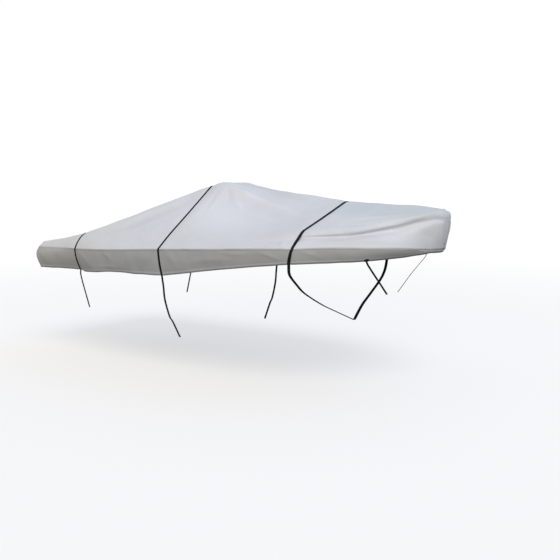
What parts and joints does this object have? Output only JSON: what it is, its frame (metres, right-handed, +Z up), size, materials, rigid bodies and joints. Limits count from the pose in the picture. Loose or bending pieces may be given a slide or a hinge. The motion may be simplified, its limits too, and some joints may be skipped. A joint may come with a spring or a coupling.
{
  "type": "boat cover",
  "caption": "Fitted cloth cover for a trailered open boat: peaked deck, hanging skirts, webbing over-straps and bow ties.",
  "frame": {"origin": "under the peak of the cover, where the boat's highest point carries the cloth", "axes": "+X to the bow, +Y to port, +Z up"},
  "size_m": [5.4496, 2.334, 1.8348],
  "materials": {
    "cover_cloth": "coated woven polyester, matt silver grey",
    "webbing": "black polypropylene webbing"
  },
  "bodies": {
    "root": {"deck_starboard": "cover_cloth", "deck_port": "cover_cloth", "skirt_starboard": "cover_cloth", "skirt_port": "cover_cloth", "skirt_stern": "cover_cloth", "strap_aft": "webbing", "strap_mid": "webbing", "strap_fore": "webbing", "bow_tie_starboard": "webbing", "bow_tie_port": "webbing", "tie_patch_starboard": "webbing", "tie_patch_port": "webbing"}
  },
  "joints": []
}
